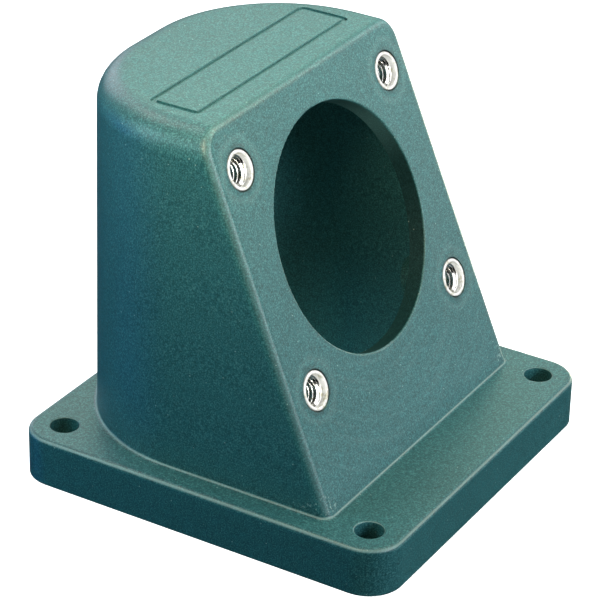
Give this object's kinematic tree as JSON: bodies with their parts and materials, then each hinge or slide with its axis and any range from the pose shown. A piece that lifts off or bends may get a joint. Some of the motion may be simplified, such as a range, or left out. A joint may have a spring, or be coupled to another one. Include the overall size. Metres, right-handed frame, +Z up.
{
  "type": "angled connector mounting box",
  "caption": "Hollow moulded mounting box: square flange with corner holes, D-shaped hood and a sloping face with a round connector opening and threaded metal inserts.",
  "frame": {"origin": "centre of the flange's underside", "axes": "+Z up out of the flange, -Y the way the sloping face looks, +X to the right of someone who faces the sloping face"},
  "size_m": [0.07, 0.07, 0.068],
  "materials": {
    "housing_plastic": "fine spark-eroded texture on dark green glass-filled plastic, with faint flow marks",
    "insert_metal": "bright nickel plate over turned brass",
    "gasket_rubber": "matte moulded rubber"
  },
  "bodies": {
    "root": {"housing": "housing_plastic", "insert_upper_left": "insert_metal", "insert_upper_right": "insert_metal", "insert_lower_left": "insert_metal", "insert_lower_right": "insert_metal", "base_gasket": "gasket_rubber"}
  },
  "joints": []
}
